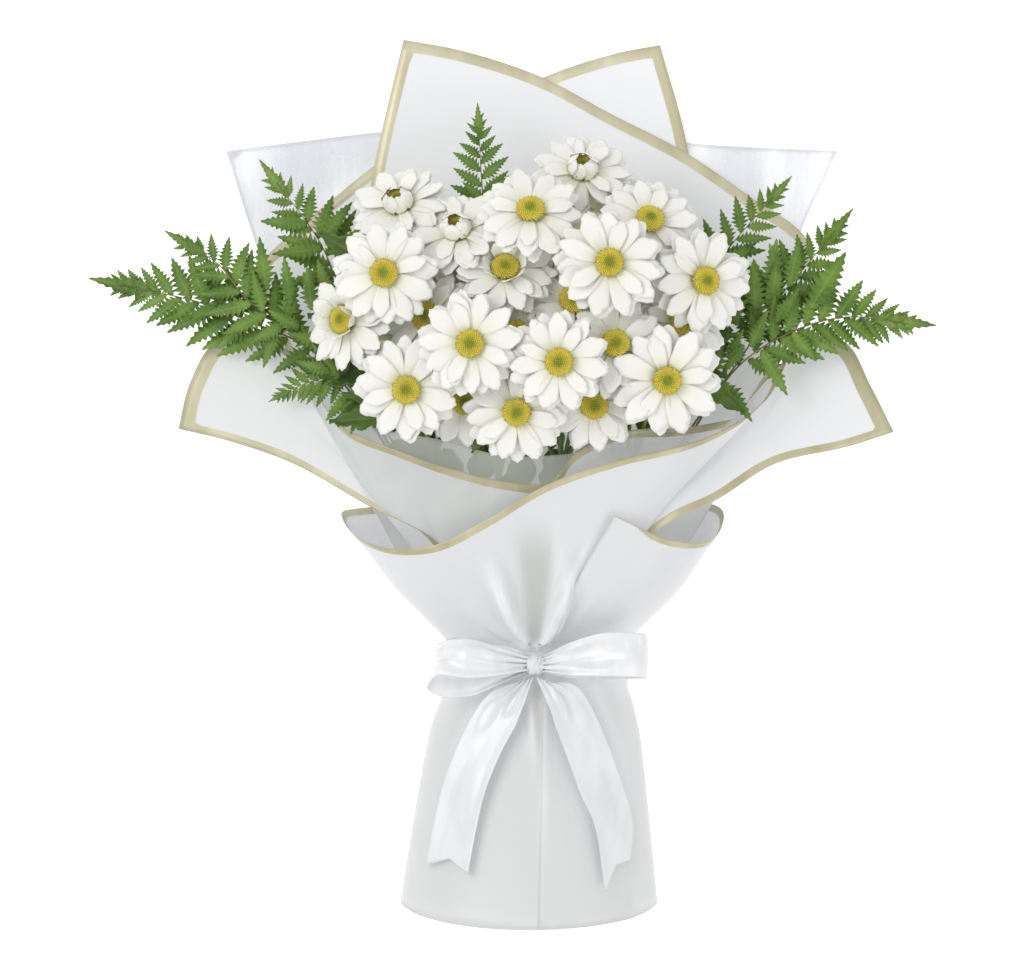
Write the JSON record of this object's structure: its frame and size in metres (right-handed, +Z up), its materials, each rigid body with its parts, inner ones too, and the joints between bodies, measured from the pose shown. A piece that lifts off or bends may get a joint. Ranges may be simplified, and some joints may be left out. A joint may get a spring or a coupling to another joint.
{
  "type": "bunch of daisies",
  "caption": "Bunch of white daisies with fern fronds, wrapped in frosted and clear film with a pale gold edge and tied with a satin ribbon, lying on its back.",
  "frame": {"origin": "on the surface it lies on, under the middle of the bunch", "axes": "+Y from the cut stems to the flowers, +X to the right as the camera looks down on it, +Z up"},
  "size_m": [0.485, 0.5095, 0.157],
  "materials": {
    "petals": "soft matt white petals, cream towards the florets",
    "florets": "golden yellow florets, greener at the middle",
    "stem_and_leaf": "green stems and lobed leaves",
    "fern": "leathery fern fronds with toothed leaflets",
    "frosted_film": "frosted translucent film with a pale gold border",
    "clear_film": "clear crinkled film",
    "satin_ribbon": "white satin ribbon"
  },
  "bodies": {
    "root": {"clear_film": "clear_film", "back_sheet_right": "frosted_film", "back_sheet_left": "frosted_film", "outer_sheet": "frosted_film", "inner_sheet": "frosted_film", "liner_sheet": "frosted_film", "ribbon_band": "satin_ribbon", "ribbon_knot": "satin_ribbon", "ribbon_loop_left": "satin_ribbon", "ribbon_loop_right": "satin_ribbon", "ribbon_tail_left": "satin_ribbon", "ribbon_tail_right": "satin_ribbon", "fern_left_main": "fern", "fern_left_upper": "fern", "fern_left_top": "fern", "fern_left_low": "fern", "fern_top": "fern", "fern_right_top": "fern", "fern_right_upper": "fern", "fern_right_main": "fern", "spray_left": "stem_and_leaf", "spray_middle_left": "stem_and_leaf", "spray_middle_right": "stem_and_leaf", "spray_right": "stem_and_leaf", "bloom_01_petals": "petals", "bloom_01_disc": "florets", "bloom_02_petals": "petals", "bloom_02_disc": "florets", "bloom_03_petals": "petals", "bloom_03_disc": "florets", "bloom_04_petals": "petals", "bloom_04_disc": "florets", "bloom_05_petals": "petals", "bloom_05_disc": "florets", "bloom_06_petals": "petals", "bloom_06_disc": "florets", "bloom_07_petals": "petals", "bloom_07_disc": "florets", "bloom_08_petals": "petals", "bloom_08_disc": "florets", "bloom_09_petals": "petals", "bloom_09_disc": "florets", "bloom_10_petals": "petals", "bloom_10_disc": "florets", "bloom_11_petals": "petals", "bloom_11_disc": "florets", "bloom_12_petals": "petals", "bloom_12_disc": "florets", "bloom_13_petals": "petals", "bloom_13_disc": "florets", "bloom_14_petals": "petals", "bloom_15_petals": "petals", "bloom_16_petals": "petals", "bloom_17_petals": "petals", "bloom_18_petals": "petals", "bloom_19_petals": "petals", "bloom_20_petals": "petals", "bloom_21_petals": "petals", "bloom_22_petals": "petals"}
  },
  "joints": []
}
